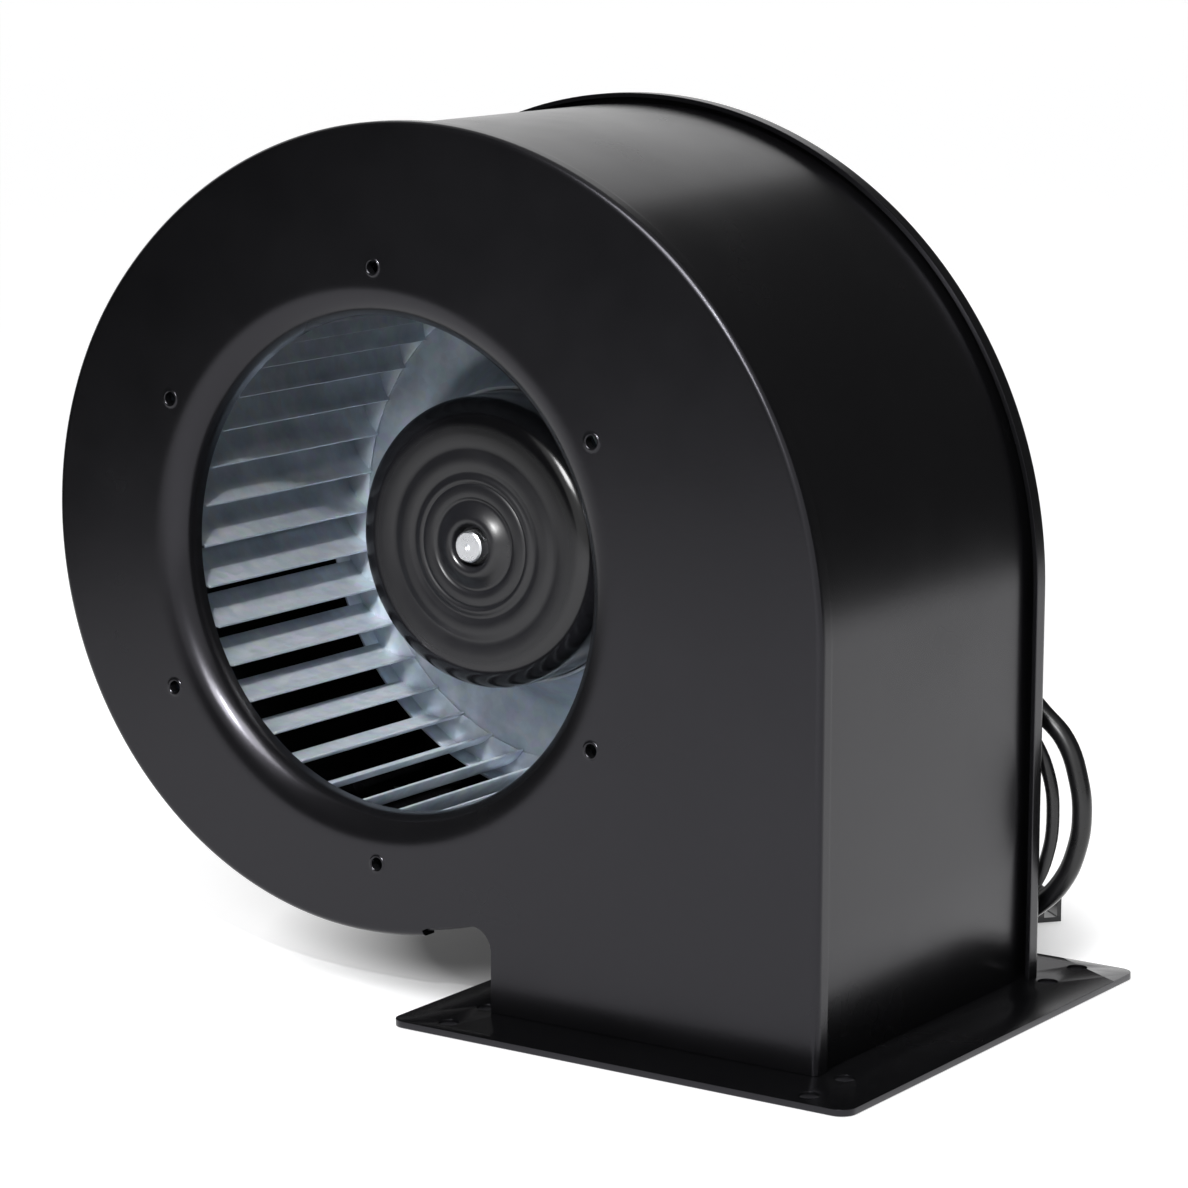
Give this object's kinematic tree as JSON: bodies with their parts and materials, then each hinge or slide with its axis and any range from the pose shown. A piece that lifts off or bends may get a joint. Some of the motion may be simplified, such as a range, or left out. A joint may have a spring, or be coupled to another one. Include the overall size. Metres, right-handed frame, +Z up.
{
  "type": "dc blower fan",
  "caption": "Centrifugal blower: sheet-steel scroll on a bolt-down outlet flange, bell-mouth inlet, drum impeller on an external-rotor motor, two leads from the back.",
  "frame": {"origin": "centre of the outlet flange's bolt pattern, on the flange's underside", "axes": "+Z up, away from the flange; -Y towards the air inlet; +X across the duct, away from the scroll"},
  "size_m": [0.311, 0.2661, 0.272],
  "materials": {
    "black_paint": "satin",
    "gloss_black_paint": "gloss",
    "galvanised_steel": "satin",
    "bright_steel": "polished",
    "cast_aluminium": "matte",
    "lamination_steel": "matte",
    "ferrite": "matte",
    "copper_wire": "satin",
    "insulator_plastic": "matte",
    "circuit_board": "satin",
    "black_rubber": "matte",
    "lead_sheath": "satin",
    "connector_black": "satin",
    "connector_white": "satin"
  },
  "bodies": {
    "housing": {"front_plate": "black_paint", "scroll_band": "black_paint", "back_plate": "black_paint", "outlet_flange": "black_paint", "motor_flange": "cast_aluminium", "motor_screws": "bright_steel", "front_bearing": "bright_steel", "rear_bearing": "bright_steel", "stator_core": "lamination_steel", "stator_windings": "copper_wire", "slot_insulators": "insulator_plastic", "control_board": "circuit_board", "electronics_cover": "gloss_black_paint", "cover_screws": "bright_steel", "cable_gland": "black_rubber", "power_lead": "lead_sheath", "power_connector": "connector_black", "signal_lead": "lead_sheath", "signal_connector": "connector_white"},
    "impeller": {"impeller_blades": "galvanised_steel", "impeller_hoop": "galvanised_steel", "impeller_disc": "galvanised_steel", "rotor_can": "gloss_black_paint", "rotor_magnets": "ferrite", "motor_shaft": "bright_steel", "retaining_ring": "bright_steel", "preload_washer": "bright_steel"}
  },
  "joints": [
    {"name": "impeller_spin", "type": "hinge", "parent": "housing", "child": "impeller", "pos_m": [-0.1022, 0, 0.1342], "axis": [0, -1, 0], "continuous": true}
  ]
}
